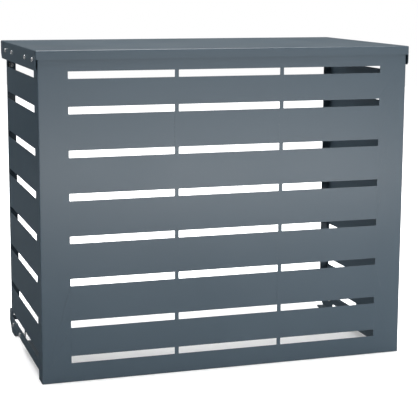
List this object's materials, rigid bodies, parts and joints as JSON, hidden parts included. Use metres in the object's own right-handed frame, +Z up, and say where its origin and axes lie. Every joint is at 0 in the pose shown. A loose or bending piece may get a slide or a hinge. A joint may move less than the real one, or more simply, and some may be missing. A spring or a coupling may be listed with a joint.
{
  "type": "slotted equipment cover",
  "caption": "Open-backed sheet-metal cover with slotted front and side panels, a screwed-on lid and rear feet, to stand over an outdoor unit or generator.",
  "frame": {"origin": "centre of the footprint, on the floor", "axes": "+X along the front panel to its right end seen from the front, +Y from the front panel to the open back, +Z up"},
  "size_m": [1.0176, 0.5554, 0.85],
  "materials": {
    "panels": "satin anthracite powder coat, fine texture",
    "brackets": "satin anthracite powder coat",
    "screws": "bright stainless steel",
    "zinc_hardware": "bright zinc plate",
    "spacers": "black nylon",
    "pads": "black rubber"
  },
  "bodies": {
    "root": {"front_panel": "panels", "left_bracket_nut": "zinc_hardware", "left_bracket_stud": "zinc_hardware", "left_corner_nuts": "zinc_hardware", "left_corner_studs": "zinc_hardware", "left_foot_nuts": "zinc_hardware", "left_foot_pad": "pads", "left_foot_screws": "screws", "left_front_bracket": "brackets", "left_lid_nuts": "zinc_hardware", "left_lid_screws": "screws", "left_lid_spacers": "spacers", "left_rail_nut": "zinc_hardware", "left_rail_screw": "screws", "left_rear_bracket": "brackets", "left_rear_foot": "brackets", "left_side_panel": "panels", "lid": "panels", "lid_stiffener": "brackets", "rear_top_rail": "brackets", "right_bracket_nut": "zinc_hardware", "right_bracket_stud": "zinc_hardware", "right_corner_nuts": "zinc_hardware", "right_corner_studs": "zinc_hardware", "right_foot_nuts": "zinc_hardware", "right_foot_pad": "pads", "right_foot_screws": "screws", "right_front_bracket": "brackets", "right_lid_nuts": "zinc_hardware", "right_lid_screws": "screws", "right_lid_spacers": "spacers", "right_rail_nut": "zinc_hardware", "right_rail_screw": "screws", "right_rear_bracket": "brackets", "right_rear_foot": "brackets", "right_side_panel": "panels"}
  },
  "joints": []
}
